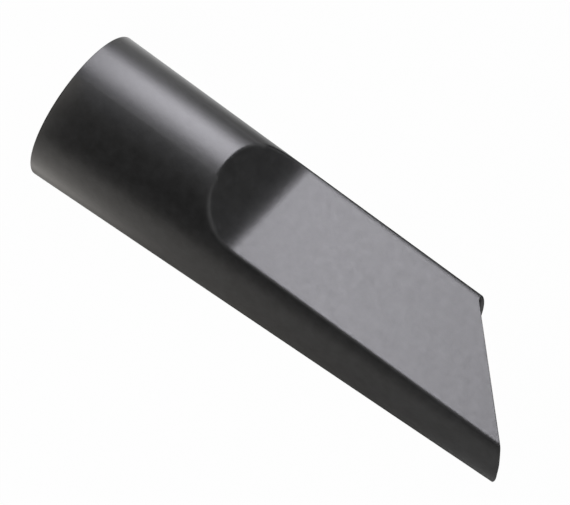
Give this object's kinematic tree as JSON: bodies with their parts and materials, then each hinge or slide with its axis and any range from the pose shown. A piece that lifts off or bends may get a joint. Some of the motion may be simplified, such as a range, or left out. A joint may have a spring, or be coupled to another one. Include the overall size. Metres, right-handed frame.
{
  "type": "vacuum crevice tool",
  "caption": "Black moulded crevice tool for a vacuum cleaner: round socket collar, scooped change to a flat blade, slanted open mouth, hollow throughout.",
  "frame": {"origin": "centre of the collar's end face, on the socket's axis, where the tool stands on its collar", "axes": "+Z along the tube from the collar to the tip; +X towards the long side of the slanted mouth; the blade's two flats face +Y and -Y"},
  "size_m": [0.038, 0.038, 0.1314],
  "materials": {
    "moulded_plastic": "satin moulded black, fine spark-eroded grain"
  },
  "bodies": {
    "root": {"crevice_tool": "moulded_plastic"}
  },
  "joints": []
}
